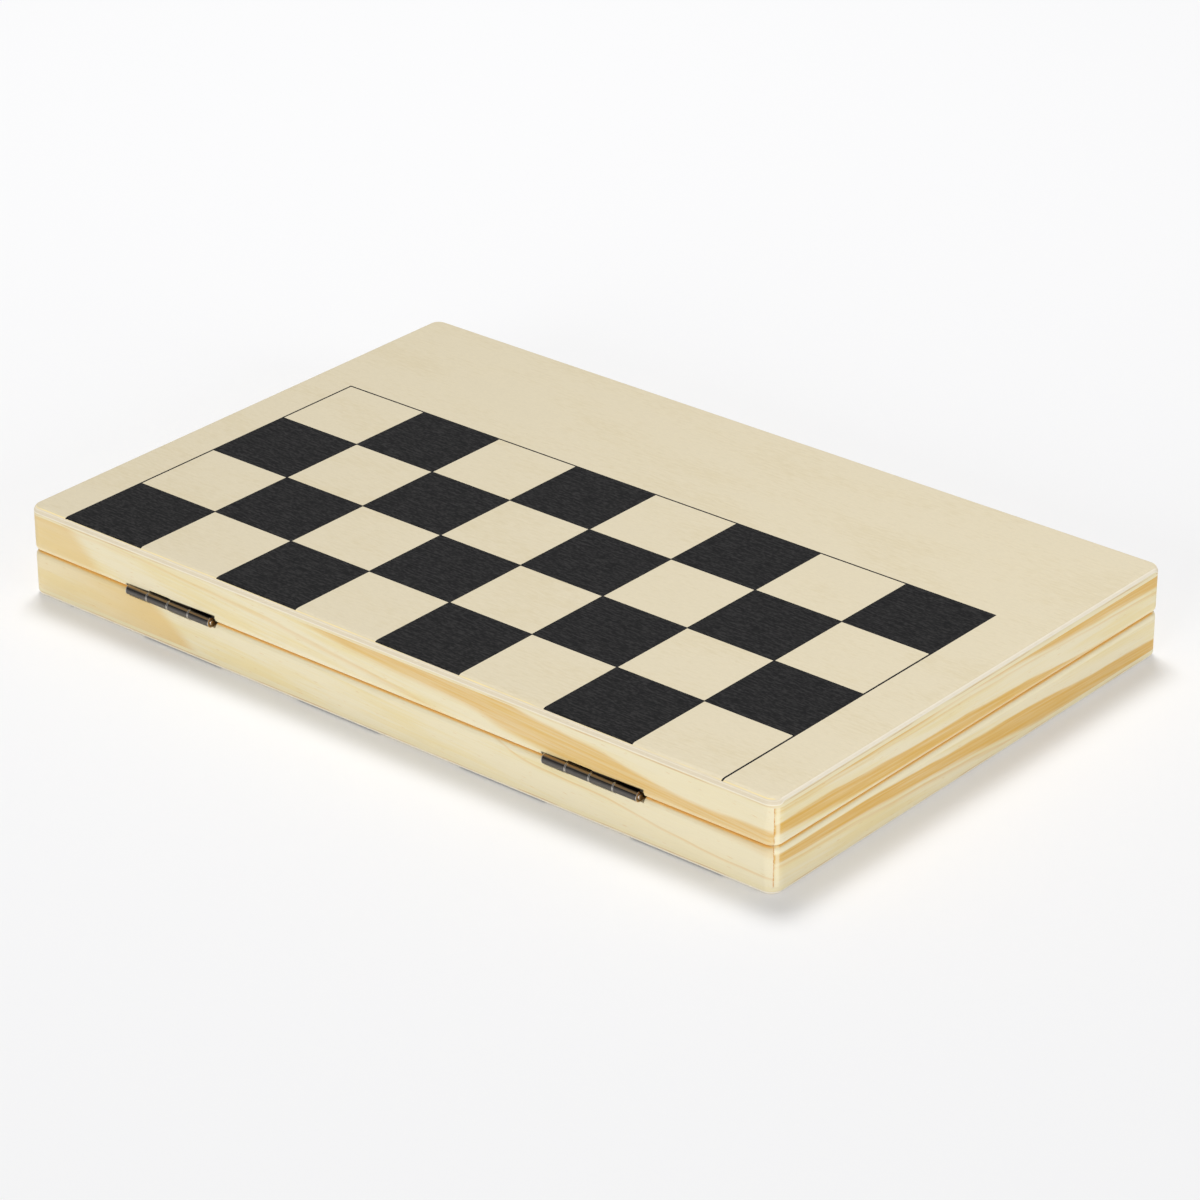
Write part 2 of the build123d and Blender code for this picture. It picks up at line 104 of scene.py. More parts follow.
class PineLook(bpy.types.PropertyGroup):
    """The pine strips of the two frames."""

    pale: paint("Early wood", "Colour between the growth bands", 241, 230, 197)
    warm: paint("Warm wood", "Colour of the broad warmer clouds", 239, 223, 173)
    late: paint("Late wood", "Colour of the growth bands", 226, 180, 88)
    patch: paint("Flat-cut wood", "Colour where the saw ran along a band", 233, 203, 140)
    fleck: paint("Fleck", "Colour of the short resin flecks", 222, 178, 100)
    # Painted bounce light: the groove is coloured as the warm light bounced between the rims
    groove: paint("Groove", "Colour deep in the groove between the halves", 242, 196, 104)
    # Painted highlight on the rounded rims and on the rounded corners of the case
    rim: paint("Rim", "Colour of the rounded edges of the rims", 250, 240, 205)
    # Painted shade: the wood round the knuckles is darkened for the shadow in the recess behind the hinges
    painted_recess_shade: paint("Hinge recess", "Colour of the wood that is cut away behind the hinges", 36, 26, 17)
    mitre: paint("Mitre", "Colour of the glue lines at the corners", 214, 146, 62)
    mitre_width: length("Mitre width", "Width of the glue lines at the corners", 0.16)
    roughness: share("Roughness", "Roughness of the sanded strips", 0.48)


class BronzeLook(bpy.types.PropertyGroup):
    """The plated steel of the hinges, the latch and the screws."""

    plating: paint("Plating", "Colour of the dark plating", 98, 95, 92)
    # Painted reflection: the warm strip along the top of the knuckles, as of the wood above; also the colour
    # of the ends that face right
    warm_reflection_and_ends: paint("Rubbed plating", "Colour where the plating is rubbed", 196, 160, 112)
    # Painted shade on the back of the knuckles, and a painted dark reflection line under the warm strip
    painted_shade_and_reflection: paint("Tarnish", "Colour of the tarnished back of the knuckles", 34, 30, 27)
    # Painted highlight on the seams between the knuckles
    bright: paint("Bright steel", "Colour of the edges of the knuckles", 224, 219, 212)
    roughness: share("Roughness", "Roughness of the plating", 0.3)


class MenLook(bpy.types.PropertyGroup):
    """The two colours of turned chessmen."""

    light: paint("Light wood", "Colour of the light men", 222, 186, 128)
    light_grain: paint("Light grain", "Colour of the grain of the light men", 201, 158, 98)
    dark: paint("Black stain", "Colour of the black men", 28, 25, 24)
    dark_grain: paint("Black grain", "Colour of the grain under the black stain", 52, 42, 36)
    roughness: share("Roughness", "Roughness of the wood under its lacquer", 0.42)
    lacquer: share("Lacquer", "Strength of the clear lacquer", 0.35)


class StageLook(bpy.types.PropertyGroup):
    """The floor, the sky and the camera."""

    floor: paint("Floor", "Colour of the floor", 250, 250, 251)
    floor_size: length("Floor size", "Side of the square floor", 6000)
    glow: share("Floor glow", "How much of the floor the camera sees as plain white", 0.18)
    sky: share("Sky", "Strength of the light that comes evenly from all sides", 0.32)
    backdrop: share("Backdrop", "Strength of the backdrop that the camera sees", 0.96)
    focal_length: FloatProperty(
        name="Focal length", description="Focal length of the camera", unit="CAMERA", default=133.37
    )


class Value:
    """A number that varies over a surface. Arithmetic on it adds Math nodes."""

    def __init__(self, wiring, socket):
        self.wiring = wiring
        self.socket = socket

    def __add__(self, other):
        return self.wiring.maths("ADD", self, other)

    def __sub__(self, other):
        return self.wiring.maths("SUBTRACT", self, other)

    def __rsub__(self, other):
        return self.wiring.maths("SUBTRACT", other, self)

    def __mul__(self, other):
        return self.wiring.maths("MULTIPLY", self, other)

    def __truediv__(self, other):
        return self.wiring.maths("DIVIDE", self, other)

    def __abs__(self):
        return self.wiring.maths("ABSOLUTE", self)

    __radd__ = __add__
    __rmul__ = __mul__


def swing(noise, size):
    """Noise about 0.5 as a change about 0, of the given size."""
    return (noise - 0.5) * size


def linked(colour):
    """A colour as a node socket takes it: a wire as it is, a plain colour with its alpha."""
    return colour if isinstance(colour, Value) else (*colour, 1.0)


def bend(mapping, points):
    """Give a curve node its points, which run from 0 to 1 both ways."""
    curve = mapping.curves[0]
    for count, (across, up) in enumerate(points):
        if count < len(curve.points):
            curve.points[count].location = (across, up)
        else:
            curve.points.new(across, up)
    mapping.update()


class Wiring:
    """A node tree while it is wired, from empty."""

    def __init__(self, tree):
        self.tree = tree
        self.tree.nodes.clear()

    def node(self, kind, settings=None, sockets=None, out=0):
        """Add a node: its settings first, then its socket values or wires. Returns one output."""
        made = self.tree.nodes.new(kind)
        for name, setting in (settings or {}).items():
            if name == "points":
                bend(made.mapping, setting)
            else:
                setattr(made, name, setting)
        for name, value in (sockets or {}).items():
            if isinstance(value, Value):
                self.tree.links.new(value.socket, made.inputs[name])
            else:
                made.inputs[name].default_value = value
        return Value(self, made.outputs[out]) if made.outputs else None

    def maths(self, operation, first, second=0.0):
        """One step of arithmetic."""
        return self.node("ShaderNodeMath", {"operation": operation}, {0: first, 1: second})


class Finish(Wiring):
    """One material while its shader is wired. x, y and z are millimetres in the case's frame."""

    def __init__(self, name):
        self.material = bpy.data.materials.new(name)
        self.material.use_nodes = True
        super().__init__(self.material.node_tree)
        place = self.node("ShaderNodeTexCoord", out="Object")
        self.x, self.y, self.z = (
            self.node("ShaderNodeSeparateXYZ", sockets={0: place}, out=axis) / mm for axis in "XYZ"
        )

    def rise(self, value, start, end):
        """0 before start and 1 after end, with a smooth step between them."""
        steps = {"Value": value, "From Min": start, "From Max": end}
        return self.node("ShaderNodeMapRange", {"interpolation_type": "SMOOTHSTEP"}, steps)

    def fall(self, value, start, end):
        """1 before start and 0 after end, with a smooth step between them."""
        return 1 - self.rise(value, start, end)

    def stripe(self, value, middle, width, soft):
        """1 within half a width of the middle, with soft edges."""
        return self.fall(abs(value - middle), width / 2 - soft / 2, width / 2 + soft / 2)

    def noise(self, x, y, z, detail=2.0):
        """Smooth noise about 0.5, one cell to each unit of x, y and z."""
        spot = self.node("ShaderNodeCombineXYZ", sockets={0: x, 1: y, 2: z})
        return self.node("ShaderNodeTexNoise", sockets={"Vector": spot, "Scale": 1.0, "Detail": detail})

    def grain(self, length, width, height, detail=2.0):
        """Noise in cells of these sizes along x, y and z, in millimetres."""
        return self.noise(self.x / length, self.y / width, self.z / height, detail)

    def blend(self, amount, first, second):
        """The colour that goes from first to second as amount goes from 0 to 1."""
        colours = {0: amount, 6: linked(first), 7: linked(second)}
        return self.node("ShaderNodeMix", {"data_type": "RGBA"}, colours, out=2)

    def shade(self, colour, amount):
        """A colour made lighter or darker by an amount about 1."""
        scaled = {0: colour, "Scale": amount}
        return self.node("ShaderNodeVectorMath", {"operation": "SCALE"}, scaled)

    def surface(self, colour, roughness, relief, relief_depth, **fixed):
        """The shader of a solid surface, with relief_depth in millimetres."""
        bump = self.node("ShaderNodeBump", sockets={"Distance": relief_depth * mm, "Height": relief})
        fixed = {name.replace("_", " "): value for name, value in fixed.items()}
        sockets = {"Base Color": colour, "Roughness": roughness, "Normal": bump, **fixed}
        shader = self.node("ShaderNodeBsdfPrincipled", sockets=sockets)
        self.node("ShaderNodeOutputMaterial", sockets={"Surface": shader})
        return self.material


def dress(material, *names):
    """Give CAD nodes their finish."""
    for name in names:
        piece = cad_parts[name]
        piece.data.materials.clear()
        piece.data.materials.append(material)


class PanelEdge(NamedTuple):
    """The edge of a panel: the height of its outer face, how far from that face the edge is pale
    on the long and on the short sides, in millimetres, and how strongly a painted highlight
    lightens the rounded rim of its outer face."""

    outer_face: float
    long_sides: float
    short_sides: float
    veneer: float


panel_edges = {
    # The base's underside rim gets the full painted highlight, the lid's top rim none
    "base_panel": PanelEdge(outer_face=0.0, long_sides=0.9, short_sides=0.9, veneer=1.0),
    "lid_panel": PanelEdge(outer_face=case_top, long_sides=1.45, short_sides=0.9, veneer=0.0),
}

# Where a panel's edge turns from a long to a short side, inward from the long one, in millimetres
turn_start = 1.6
turn_end = 3.0


def veneer_face(ply, look, fibres, fine):
    """The sanded veneer: fibres, broad clouds, and painted light that makes the panel slowly paler from its
    left end to its right.
    """
    clouds = ply.grain(length=30, width=12, height=12)
    streaks = ply.rise(fibres * 0.5 + clouds * 0.5, start=0.44, end=0.68)
    face = ply.blend(streaks * 0.45, look.face, look.streak)
    # Painted light: paler towards the right end
    painted_light_tone = ply.x * (look.painted_light_slant / case_length)
    return ply.shade(face, painted_light_tone + 1.0 + swing(fine, 0.1) + swing(clouds, 0.05))


def core_edge(ply, look, depth, pale_depth, short_side):
    """The edge of the core: pale down to pale_depth, with fine lines in it, and yellower below."""
    pores = ply.grain(length=0.4, width=3, height=0.3)
    low_line = ply.stripe(depth, pale_depth - 0.12, width=0.16, soft=0.12)
    high_line = ply.stripe(depth, pale_depth * 0.4, width=0.1, soft=0.1)
    core = ply.blend((low_line + high_line * 0.6) * 0.9, look.core, look.core_line_and_highlight)
    core = ply.blend(short_side * 0.6, core, look.core_line_and_highlight)
    core = ply.blend(ply.rise(depth, pale_depth - 0.08, pale_depth + 0.12), core, look.inner)
    return ply.shade(core, 1.0 + swing(pores, 0.06))


def plywood(name, look, panel):
    """Three plies: veneers with their grain along the case, and a core across it."""
    ply = Finish(name)
    veneer = look.veneer / mm
    glue = look.glue / mm
    depth = abs(ply.z - panel.outer_face)
    from_side = case_width / 2 - abs(ply.y)
    from_rim = ply.maths("MINIMUM", case_length / 2 - abs(ply.x), from_side)
    short_side = ply.rise(from_side, turn_start, turn_end)
    pale_depth = short_side * (panel.short_sides - panel.long_sides) + panel.long_sides
    fibres = ply.grain(length=3.2, width=0.6, height=0.6, detail=3)
    fine = ply.grain(length=0.8, width=0.36, height=0.36)

    face = veneer_face(ply, look, fibres, fine)
    core = core_edge(ply, look, depth, pale_depth, short_side)
    in_core = ply.stripe(depth, panel_thickness / 2, panel_thickness - 2 * veneer, soft=glue)
    colour = ply.blend(in_core, face, core)
    lower_veneer = ply.rise(depth, panel_thickness - veneer - glue, panel_thickness - veneer)
    lower_rim = lower_veneer * ply.fall(from_rim, start=0.3, end=1.2)
    colour = ply.blend(lower_rim, colour, look.inner)
    # Painted highlight: the rounded rim of the outer face is lightened as if lit by the pale floor
    rim_edge_highlight = ply.fall(from_rim, start=1.1, end=1.4) * ply.fall(depth, pale_depth - 0.05, pale_depth + 0.1)
    colour = ply.blend(rim_edge_highlight * panel.veneer, colour, look.core_line_and_highlight)

    broken = ply.grain(length=14, width=14, height=0.5)
    outer_line = ply.stripe(depth, veneer, glue, soft=glue) * ply.fall(from_side, start=1.0, end=1.6)
    colour = ply.blend(outer_line * ply.rise(broken, start=0.3, end=0.6), colour, look.outer_glue)
    inner_line = ply.stripe(depth, pale_depth + glue * 2, glue * 2, soft=glue)
    colour = ply.blend(inner_line * ply.rise(broken, start=0.4, end=0.62) * 0.6, colour, look.inner_glue)
    roughness = look.roughness + swing(fine, 0.16)
    return ply.surface(colour, roughness, fine + fibres, relief_depth=0.01, Specular_IOR_Level=0.22)


def black_print(name, look):
    """Ink that follows the fibres of the veneer below it."""
    ink = Finish(name)
    fibres = ink.grain(length=4, width=0.5, height=0.5, detail=4)
    fine = ink.grain(length=1.0, width=0.35, height=0.35, detail=3)
    worn = ink.rise(fibres * 0.45 + fine * 0.55, start=0.43, end=0.62)
    colour = ink.blend(worn, look.ink, look.worn)
    roughness = look.roughness + swing(fine, 0.2)
    return ink.surface(colour, roughness, fine + fibres, relief_depth=0.04, Specular_IOR_Level=0.1)


class Band(NamedTuple):
    """A growth band on the outer face of a strip. Its edges run through points, each a place
    along the strip and a height above the case's underside. These and the softness of its
    edges are in millimetres."""

    strength: float
    softness: float
    top: tuple
    bottom: tuple


class Patch(NamedTuple):
    """The left end of a strip, where a band was sawn flat. Its slanted border crosses the strip
    from low_edge to high_edge, and beyond reach it fades to the strength far_strength."""

    low_edge: float
    high_edge: float
    reach: float
    strength: float
    far_strength: float


class Strip(NamedTuple):
    """The figure of one pine strip: its bands, how steeply its fibres climb, how strong the painted
    highlight on its rounded rim is, where it has a patch, from which place on it has few warm
    clouds, and the hinge leaves that it is cut away for, round whose knuckles it gets painted shade."""

    bands: tuple
    slope: float
    rim: float = 0.35
    patch: Patch = None
    clear_from: float = None
    leaves: tuple = ()


# Heights that the edges of a band can have, in millimetres
band_floor = -6.0
band_ceiling = 27.0

# How steeply bands and fibres sink as they run into a strip, and how far bands waver in millimetres
band_sink = 0.45
fibre_sink = 0.6
band_waver = 1.6

# How far the border of a patch is soft to the left and to the right of its line, in millimetres
border_left = 3.5
border_right = 2.5

# The stretch over which warm clouds give way to clear wood, in millimetres
clearing = 30.0

# How far the painted highlight on a rounded rim lies from the split and how wide it is, in millimetres
rim_light_height = 0.85
rim_light_width = 0.8

# The knuckles of the hinges, and how far the painted shade in the recess behind them reaches
# from their axis at the left and at the right end, in millimetres
knuckle_radius = 1.1
knuckle_length = 6.0
recess_left = 1.15
recess_right = 1.75

# How much more the parts of the knuckles with painted shade and reflections face up at the left
# end than at the right, where 1 is straight up
painted_light_lean = 0.12

# The figure of each strip. The hinge side and the right side are as they look in the picture.
figures = {
    "lid_frame_hinge_side": Strip(
        bands=(
            Band(
                strength=0.78,
                softness=1.1,
                top=(
                    (-100, 24), (27, 22), (36, 18.9), (48, 17.4),
                    (57, 16.7), (66, 15.4), (76, 14.2), (100, 14.2),
                ),
                bottom=(
                    (-100, 26), (-30, 21), (-6, 17.0), (12, 15.9), (24, 15.2),
                    (32, 13.6), (46, 11.8), (60, 7), (100, 4),
                ),
            ),
            Band(
                strength=0.4,
                softness=0.8,
                top=((-100, 19), (-60, 18.2), (-27, 16.6), (-3, 13.8), (10, 12.4), (30, 9), (100, 6)),
                bottom=((-100, 18.6), (-60, 17.8), (-27, 15.9), (-3, 13.0), (10, 11.6), (30, 8.4), (100, 5)),
            ),
        ),
        slope=-0.06,
        patch=Patch(low_edge=-77, high_edge=-87, reach=30, strength=0.75, far_strength=0.5),
        clear_from=50,
        leaves=("hinge_left_lid_leaf", "hinge_right_lid_leaf"),
    ),
    "base_frame_hinge_side": Strip(
        bands=(
            Band(
                strength=0.5,
                softness=0.35,
                top=(
                    (-100, 14), (10, 13), (30, 10.7), (38, 8.6), (48, 7.7),
                    (60, 7.2), (73, 5.5), (87, 4.5), (100, 4.2),
                ),
                bottom=(
                    (-100, 13), (10, 12), (30, 10.3), (38, 8.2), (48, 7.3),
                    (60, 6.8), (73, 5.1), (87, 4.1), (100, 3.8),
                ),
            ),
            Band(
                strength=0.45,
                softness=1.2,
                top=((-100, 16), (60, 13), (100, 13)),
                bottom=((-100, 15), (60, 12.2), (84, 10.2), (100, 8.6)),
            ),
        ),
        slope=-0.05,
        rim=0.1,
        patch=Patch(low_edge=-52, high_edge=-65, reach=34, strength=0.9, far_strength=0.3),
        clear_from=40,
    ),
    "lid_frame_right": Strip(
        bands=(
            Band(
                strength=1.0,
                softness=0.55,
                top=((-65, 15.5), (-52, 16.1), (-33, 15.2), (-4, 14.2), (14, 13.4), (38, 11.8), (65, 11.1)),
                bottom=((-65, 13.6), (-52, 12.8), (-33, 11.6), (-4, 10.9), (14, 10.2), (38, 9), (65, 8)),
            ),
            Band(
                strength=1.0,
                softness=0.7,
                top=((-65, 24), (65, 24)),
                bottom=((-65, 18.9), (-30, 18.7), (0, 18.9), (14, 18.5), (27, 17.6), (48, 16.9), (65, 16.3)),
            ),
            Band(
                strength=0.45,
                softness=0.4,
                top=((-65, 18.2), (-20, 18.0), (20, 17.3), (45, 16.1), (65, 15.4)),
                bottom=((-65, 17.8), (-20, 17.7), (20, 17.0), (45, 15.7), (65, 14.9)),
            ),
        ),
        slope=-0.03,
    ),
    "base_frame_right": Strip(
        bands=(
            Band(
                strength=1.0,
                softness=0.6,
                top=((-65, 9.4), (-38, 9.2), (-20, 8.6), (-4, 7.5), (20, 6.8), (40, 5.5), (65, 4.4)),
                bottom=((-65, 7.5), (-38, 6.4), (-20, 5.7), (-4, 4.5), (20, 2.4), (40, 1.8), (65, 1.5)),
            ),
            Band(
                strength=0.5,
                softness=0.5,
                top=((-65, 7.0), (-38, 5.7), (-20, 4.9), (-4, 3.8), (20, 1.6), (65, 1)),
                bottom=((-65, 6.5), (-38, 5.1), (-20, 4.2), (-4, 3.0), (20, 0.9), (65, 0)),
            ),
        ),
        slope=-0.04,
        rim=0.85,
    ),
    "lid_frame_left": Strip(
        bands=(
            Band(
                strength=0.8,
                softness=0.7,
                top=((-65, 14.5), (-10, 15.8), (65, 18.4)),
                bottom=((-65, 12.4), (-10, 13.7), (65, 17.0)),
            ),
            Band(strength=0.5, softness=0.4, top=((-65, 18.2), (65, 22)), bottom=((-65, 17.6), (65, 21.2))),
        ),
        slope=0.03,
    ),
    "base_frame_left": Strip(
        bands=(
            Band(
                strength=0.9,
                softness=0.8,
                top=((-65, 5.6), (0, 6.9), (65, 10.8)),
                bottom=((-65, 3.6), (0, 4.6), (65, 7.6)),
            ),
            Band(
                strength=0.45,
                softness=0.4,
                top=((-65, 8.4), (20, 11), (65, 13)),
                bottom=((-65, 7.9), (20, 10.4), (65, 12.2)),
            ),
        ),
        slope=0.04,
    ),
    "lid_frame_latch_side": Strip(
        bands=(
            Band(
                strength=0.7,
                softness=0.9,
                top=((-100, 13.4), (-20, 14.8), (100, 20.5)),
                bottom=((-100, 11.6), (-20, 12.7), (100, 17.6)),
            ),
            Band(
                strength=0.45,
                softness=0.4,
                top=((-100, 17.4), (0, 19.8), (100, 24)),
                bottom=((-100, 16.9), (0, 19.2), (100, 23)),
            ),
        ),
        slope=0.025,
    ),
    "base_frame_latch_side": Strip(
        bands=(
            Band(
                strength=0.75,
                softness=0.8,
                top=((-100, 9.8), (10, 7.9), (100, 4.6)),
                bottom=((-100, 7.4), (10, 5.2), (100, 2.6)),
            ),
            Band(
                strength=0.4,
                softness=0.35,
                top=((-100, 5.6), (0, 3.6), (100, 1)),
                bottom=((-100, 5.1), (0, 3.1), (100, 0.4)),
            ),
        ),
        slope=-0.03,
    ),
}


class StripFinish(Finish):
    """The finish of one strip: the directions along it and inward from its outer face, the height
    that its fibres follow, and the noises that several of its marks share."""

    def __init__(self, name, slope):
        super().__init__(name)
        self.in_base = name.startswith("base")
        self.on_long_side = name.endswith("_side")
        self.from_end = case_length / 2 - abs(self.x)
        self.from_side = case_width / 2 - abs(self.y)
        self.along = self.x if self.on_long_side else self.y
        self.inward = self.from_side if self.on_long_side else self.from_end
        self.off_split = abs(self.z - split_height)
        self.flow = self.z + self.inward * fibre_sink - self.along * slope
        self.waver = swing(self.figure(self.z, length=24, height=30, depth=9), band_waver)
        self.streaks = self.figure(self.flow, length=26, height=0.55, depth=0.9, detail=3)
        self.fibres = self.figure(self.z, length=6, height=0.2, depth=0.2)

    def figure(self, level, length, height, depth, detail=2.0):
        """Noise in cells of these sizes along the strip, up it and into it, in millimetres. They
        follow level, which is a height."""
        return self.noise(self.along / length, level / height, self.inward / depth, detail)


def clear_wood(pine, look, clear_from):
    """Pale wood with broad warm clouds, fewer from the place clear_from on."""
    clouds = pine.figure(pine.flow, length=38, height=4.5, depth=6)
    warmth = pine.rise(clouds * 0.65 + pine.streaks * 0.35, start=0.44, end=0.62)
    if clear_from is not None:
        warmth = warmth * (1 - pine.rise(pine.along, clear_from, clear_from + clearing) * 0.8)
    return pine.blend(warmth, look.pale, look.warm)


def sawn_patch(pine, look, colour, patch):
    """The darker end of a strip, where a band was sawn flat."""
    strip_bottom = panel_thickness if pine.in_base else split_height
    up_strip = (pine.z - strip_bottom) / (split_height - panel_thickness)
    border = patch.low_edge + up_strip * (patch.high_edge - patch.low_edge) + pine.waver * 2
    inside = pine.fall(pine.along, border - border_left, border + border_right)
    nearness = pine.rise(pine.along, border - patch.reach, border)
    strength = nearness * (patch.strength - patch.far_strength) + patch.far_strength
    return pine.blend(inside * strength, colour, look.patch)


def edge_height(pine, points):
    """The height of a band's edge, in millimetres, joined smoothly through its points."""
    first = points[0][0]
    last = points[-1][0]
    reach = band_ceiling - band_floor
    shares = [((place - first) / (last - first), (height - band_floor) / reach) for place, height in points]
    along = (pine.along - first) / (last - first)
    curve = pine.node("ShaderNodeFloatCurve", {"points": shares}, {"Value": along})
    return curve * reach + band_floor


def growth_band(pine, look, colour, band):
    """A band of late wood, broken up by the fibres. It sinks as it runs into the strip."""
    height = pine.z + pine.inward * band_sink + pine.waver
    top = edge_height(pine, band.top)
    bottom = edge_height(pine, band.bottom)
    over_bottom = pine.rise(height, bottom - band.softness, bottom + band.softness)
    under_top = pine.fall(height, top - band.softness / 2, top + band.softness / 2)
    grained = 0.84 + swing(pine.streaks, 1.1) + swing(pine.fibres, 0.3)
    return pine.blend(over_bottom * under_top * grained * band.strength, colour, look.late)


def rounded_rim(pine, look, colour, rim_highlight_strength):
    """The painted highlight on the rounding of the rim, and the painted warm bounce light deep in the groove
    that it makes with the other half.
    """
    # Painted highlight on the rounding of the rim
    rounding = pine.stripe(pine.off_split, rim_light_height, rim_light_width, soft=0.5)
    colour = pine.blend(rounding * rim_highlight_strength, colour, look.rim)
    # Painted bounce light deep in the groove
    deep = pine.fall(pine.off_split, start=0.12, end=0.45) * pine.fall(pine.inward, start=0.9, end=1.5)
    return pine.blend(deep * 0.9, colour, look.groove)


def painted_corner_highlight(pine, look, colour):
    """A painted highlight down the rounded corners of the case."""
    off_mitre = abs(pine.from_end - pine.from_side)
    corner_highlight = pine.stripe(off_mitre, middle=1.0, width=1.1, soft=0.6)
    corner_highlight = corner_highlight * pine.fall(pine.inward, start=1.0, end=2.2)
    return pine.blend(corner_highlight * 0.6, colour, look.rim)


def mitre_seam(pine, look):
    """1 on the dashed glue line of a mitre."""
    off_mitre = abs(pine.from_end - pine.from_side) / math.sqrt(2)
    dashes = pine.rise(pine.noise(pine.z / 0.7, pine.inward / 3, pine.along / 40), start=0.42, end=0.55)
    return pine.stripe(off_mitre, 0, look.mitre_width / mm, soft=0.1) * (0.25 + dashes * 0.75)


def off_axis(finish, axis_place):
    """The distance from the axis of the hinges, whose place along y is given."""
    across = finish.y - axis_place
    up = finish.z - split_height
    return finish.maths("SQRT", across * across + up * up)


def hinge_recess_shade(pine, leaf):
    """1 on the wood close round the knuckles of a hinge, where painted shade stands for the shadow in the
    recess.
    """
    low, high = (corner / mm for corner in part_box(leaf))
    past_end = abs(pine.x - (low.x + high.x) / 2) - (high.x - low.x) / 2
    reach = (pine.x - low.x) * ((recess_right - recess_left) / (high.x - low.x)) + recess_left
    past_reach = off_axis(pine, low.y + knuckle_radius) - reach
    return pine.fall(past_end, start=0.6, end=1.0) * pine.fall(past_reach, start=-0.1, end=0.1)


def pine_strip(name, look, strip):
    """A sanded pine strip: bands of late wood over pale wood, flecks and a glue line at each mitre."""
    pine = StripFinish(name, strip.slope)
    colour = clear_wood(pine, look, strip.clear_from)
    if strip.patch:
        colour = sawn_patch(pine, look, colour, strip.patch)
    for band in strip.bands:
        colour = growth_band(pine, look, colour, band)
    short_fibres = pine.figure(pine.flow, length=2.6, height=0.32, depth=0.5, detail=1)
    colour = pine.blend(pine.rise(short_fibres, start=0.67, end=0.78) * 0.4, colour, look.fleck)
    colour = rounded_rim(pine, look, colour, strip.rim)
    # Painted highlight on the rounded corners, at the ends of the short strips
    if not pine.on_long_side:
        colour = painted_corner_highlight(pine, look, colour)
    for leaf in strip.leaves:
        # Painted shade in the recess round the knuckles
        colour = pine.blend(hinge_recess_shade(pine, leaf), colour, look.painted_recess_shade)
    seam = mitre_seam(pine, look)
    colour = pine.blend(seam, colour, look.mitre)
    colour = pine.shade(colour, 1.0 + swing(pine.fibres, 0.07))
    roughness = look.roughness + swing(pine.fibres, 0.14)
    relief = pine.fibres + pine.streaks - seam
    return pine.surface(colour, roughness, relief, relief_depth=0.03, Specular_IOR_Level=0.3)


def painted_knuckle_light(metal, look, colour, leaf):
    """Painted light on the knuckles of a hinge: painted shade on the back, a painted warm reflection
    along the top with a painted dark reflection line under it, brown ends, and painted highlights on
    the seams between the knuckles."""
    low, high = (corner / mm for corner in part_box(leaf))
    facing = metal.node("ShaderNodeTexCoord", out="Normal")
    along = metal.node("ShaderNodeSeparateXYZ", sockets={0: facing}, out="X")
    upward = metal.node("ShaderNodeSeparateXYZ", sockets={0: facing}, out="Z")
    on_knuckle = metal.fall(off_axis(metal, low.y + knuckle_radius), knuckle_radius, knuckle_radius + 0.05)
    leaning = upward - (high.x - metal.x) * (painted_light_lean / (high.x - low.x))
    # Painted shade on the back of the knuckles, under the recess
    back = metal.rise(leaning, start=0.88, end=0.96) * on_knuckle
    colour = metal.blend(back, colour, look.painted_shade_and_reflection)
    # Painted reflection: a warm strip along the top, as of the wood above
    strip = metal.stripe(leaning, middle=0.76, width=0.2, soft=0.12) * on_knuckle
    colour = metal.blend(strip * 0.9, colour, look.warm_reflection_and_ends)
    # Painted reflection: a dark line under the warm strip
    line = metal.stripe(upward, middle=0.58, width=0.1, soft=0.1)
    colour = metal.blend(line * 0.8, colour, look.painted_shade_and_reflection)
    # The ends that face right take the warm colour
    end = metal.rise(along, start=0.5, end=0.9)
    colour = metal.blend(end * 0.75, colour, look.warm_reflection_and_ends)
    # Painted highlights on the seams between the knuckles
    place = metal.maths("FRACT", (metal.x - low.x) / knuckle_length)
    seam = metal.rise(abs(place - 0.5), start=0.456, end=0.474) * metal.fall(abs(along), start=0.5, end=0.9)
    return metal.blend(seam * on_knuckle * 0.8, colour, look.bright)


def bronze(name, look, leaf=None):
    """Dark plating, mottled and finely brushed, with painted shade, reflections and highlights on the
    knuckles of a leaf.
    """
    metal = Finish(name)
    mottle = metal.grain(length=0.9, width=0.7, height=0.7)
    brushed = metal.grain(length=2.4, width=0.08, height=0.08)
    colour = metal.shade(look.plating, 0.85 + mottle * 0.3)
    if leaf:
        colour = painted_knuckle_light(metal, look, colour, leaf)
    roughness = look.roughness + swing(mottle, 0.1)
    return metal.surface(colour, roughness, brushed, relief_depth=0.006, Metallic=1.0)


def turned_wood(name, look, colour, grain_colour):
    """Lacquered wood with its grain along each lying man."""
    wood = Finish(name)
    each = wood.grain(length=13, width=40, height=40, detail=0)
    fibres = wood.grain(length=0.32, width=5, height=0.32)
    bands = wood.grain(length=2.2, width=30, height=2.2)
    rings = wood.grain(length=6, width=0.3, height=6)
    grained = wood.rise(fibres * 0.5 + bands * 0.5, start=0.4, end=0.64)
    shade = wood.blend(grained, colour, grain_colour)
    shade = wood.shade(shade, 0.97 + swing(each, 0.25) + swing(rings, 0.08))
    roughness = look.roughness + swing(fibres, 0.18)
    lacquer = {"Coat_Weight": look.lacquer, "Coat_Roughness": 0.14, "Specular_IOR_Level": 0.35}
    return wood.surface(shade, roughness, fibres + rings, relief_depth=0.012, **lacquer)


class CHESS_OT_panels(bpy.types.Operator):
    """Finish the two plywood panels"""

    bl_idname = "chess_set.panels"
    bl_label = "Plywood panels"

    def execute(self, context):
        look = context.scene.chess_plywood
        for name, panel in panel_edges.items():
            dress(plywood(name.replace("panel", "plywood"), look, panel), name)
        return {"FINISHED"}


